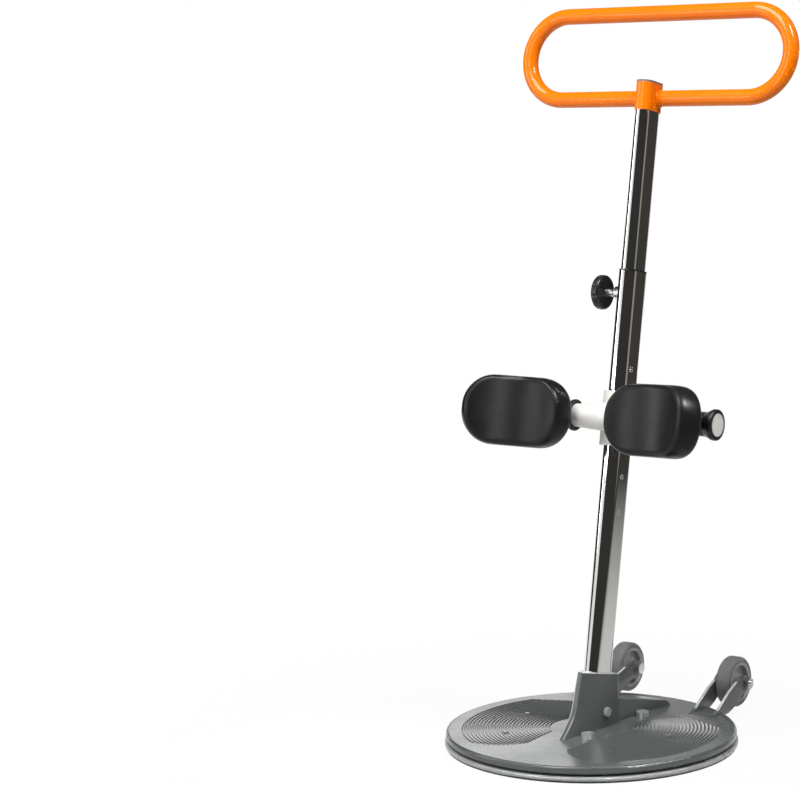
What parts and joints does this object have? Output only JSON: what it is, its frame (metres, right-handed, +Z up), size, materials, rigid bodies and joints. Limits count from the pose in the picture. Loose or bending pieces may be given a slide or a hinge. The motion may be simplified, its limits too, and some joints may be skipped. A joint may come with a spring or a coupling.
{
  "type": "patient turner",
  "caption": "Turning stand aid: round foot plate on a ball ring, leaning telescopic mast with a loop handle, sliding knee pads on a cross arm and rear transport wheels.",
  "frame": {"origin": "on the floor, under the middle of the base, on the turning axis", "axes": "+Z up, +X along the handle, +Y toward the wheels; the user faces +Y"},
  "size_m": [0.493, 0.535, 1.1233],
  "materials": {
    "base_grey": "satin moulded",
    "rubber": "matt",
    "steel": "bright zinc",
    "chrome": "polished",
    "bearing_plastic": "natural",
    "orange": "gloss powder coat",
    "plug_grey": "satin",
    "bracket_white": "satin",
    "black_plastic": "satin",
    "pad_skin": "smooth moulded skin",
    "cap_grey": "satin",
    "tyre_grey": "matt",
    "wheel_grey": "satin"
  },
  "bodies": {
    "floor_base": {"floor_disc": "base_grey", "grip_ring": "rubber", "pivot_bolt": "steel", "pivot_washer": "steel", "pivot_nut": "steel", "thrust_washer": "bearing_plastic"},
    "ball_ring": {"ball_cage": "bearing_plastic", "bearing_balls": "steel"},
    "platform": {"foot_plate": "base_grey", "pivot_bush": "bearing_plastic", "mast_socket": "base_grey", "socket_bolts": "steel", "clamp_bolt": "steel", "clamp_nut": "steel", "outer_tube": "chrome", "guide_bush": "plug_grey", "lock_boss": "chrome", "left_fork": "base_grey", "right_fork": "base_grey", "fork_screws": "steel", "left_axle": "steel", "right_axle": "steel", "axle_nuts": "steel"},
    "left_wheel": {"left_tyre": "tyre_grey", "left_hub": "wheel_grey", "left_wheel_bush": "bearing_plastic"},
    "right_wheel": {"right_tyre": "tyre_grey", "right_hub": "wheel_grey", "right_wheel_bush": "bearing_plastic"},
    "upper_mast": {"inner_tube": "chrome", "glide_foot": "plug_grey", "handle_collar": "orange", "handle_loop": "orange", "end_plug": "plug_grey"},
    "lock_tip": {"lock_pad": "bearing_plastic"},
    "lock_screw": {"lock_spindle": "chrome", "lock_knob": "black_plastic"},
    "knee_support": {"knee_bracket": "bracket_white", "bracket_liner": "plug_grey", "cross_shaft": "steel", "shaft_screws": "steel"},
    "clamp_tip": {"clamp_pad": "bearing_plastic"},
    "clamp_screw": {"clamp_spindle": "chrome", "clamp_knob": "black_plastic"},
    "left_knee": {"left_pad_hub": "black_plastic", "left_pad_carrier": "black_plastic", "left_pad": "pad_skin", "left_end_cap": "cap_grey"},
    "right_knee": {"right_pad_hub": "black_plastic", "right_pad_carrier": "black_plastic", "right_pad": "pad_skin", "right_end_cap": "cap_grey"}
  },
  "joints": [
    {"name": "turntable_turn", "type": "hinge", "parent": "floor_base", "child": "platform", "pos_m": [0, 0, 0.012], "axis": [0, 0, 1], "continuous": true},
    {"name": "ball_ring_turn", "type": "hinge", "parent": "floor_base", "child": "ball_ring", "pos_m": [0, 0, 0.012], "axis": [0, 0, 1], "continuous": true},
    {"name": "left_wheel_spin", "type": "hinge", "parent": "platform", "child": "left_wheel", "pos_m": [-0.1, 0.27, 0.051], "axis": [1, 0, 0], "continuous": true},
    {"name": "right_wheel_spin", "type": "hinge", "parent": "platform", "child": "right_wheel", "pos_m": [0.1, 0.27, 0.051], "axis": [1, 0, 0], "continuous": true},
    {"name": "mast_slide", "type": "slide", "parent": "platform", "child": "upper_mast", "axis": [0, 0.1994, 0.9799], "range_m": [-0.24, 0.06]},
    {"name": "lock_tip_slide", "type": "slide", "parent": "platform", "child": "lock_tip", "axis": [-1, 0, 0], "range_m": [0, 0.0031]},
    {"name": "lock_knob_turn", "type": "hinge", "parent": "lock_tip", "child": "lock_screw", "pos_m": [-0.04, 0.13876, 0.68203], "axis": [-1, 0, 0], "range_deg": [0, 720]},
    {"name": "knee_slide", "type": "slide", "parent": "platform", "child": "knee_support", "axis": [0, 0.1994, 0.9799], "range_m": [-0.12, 0.1]},
    {"name": "clamp_tip_slide", "type": "slide", "parent": "knee_support", "child": "clamp_tip", "axis": [1, 0, 0], "range_m": [0, 0.0031]},
    {"name": "clamp_knob_turn", "type": "hinge", "parent": "clamp_tip", "child": "clamp_screw", "pos_m": [0.05, 0.10458, 0.48897], "axis": [1, 0, 0], "range_deg": [0, 720]},
    {"name": "left_pad_tilt", "type": "hinge", "parent": "knee_support", "child": "left_knee", "pos_m": [-0.124, 0.05265, 0.49953], "axis": [1, 0, 0], "range_deg": [-25, 25]},
    {"name": "right_pad_tilt", "type": "hinge", "parent": "knee_support", "child": "right_knee", "pos_m": [0.124, 0.05265, 0.49953], "axis": [1, 0, 0], "range_deg": [-25, 25]}
  ],
  "couplings": [
    {"joint": "ball_ring_turn", "follows": "turntable_turn", "ratio": 0.5},
    {"joint": "lock_tip_slide", "follows": "lock_knob_turn", "m_per_rad": 0.00023873},
    {"joint": "clamp_tip_slide", "follows": "clamp_knob_turn", "m_per_rad": 0.00023873}
  ]
}
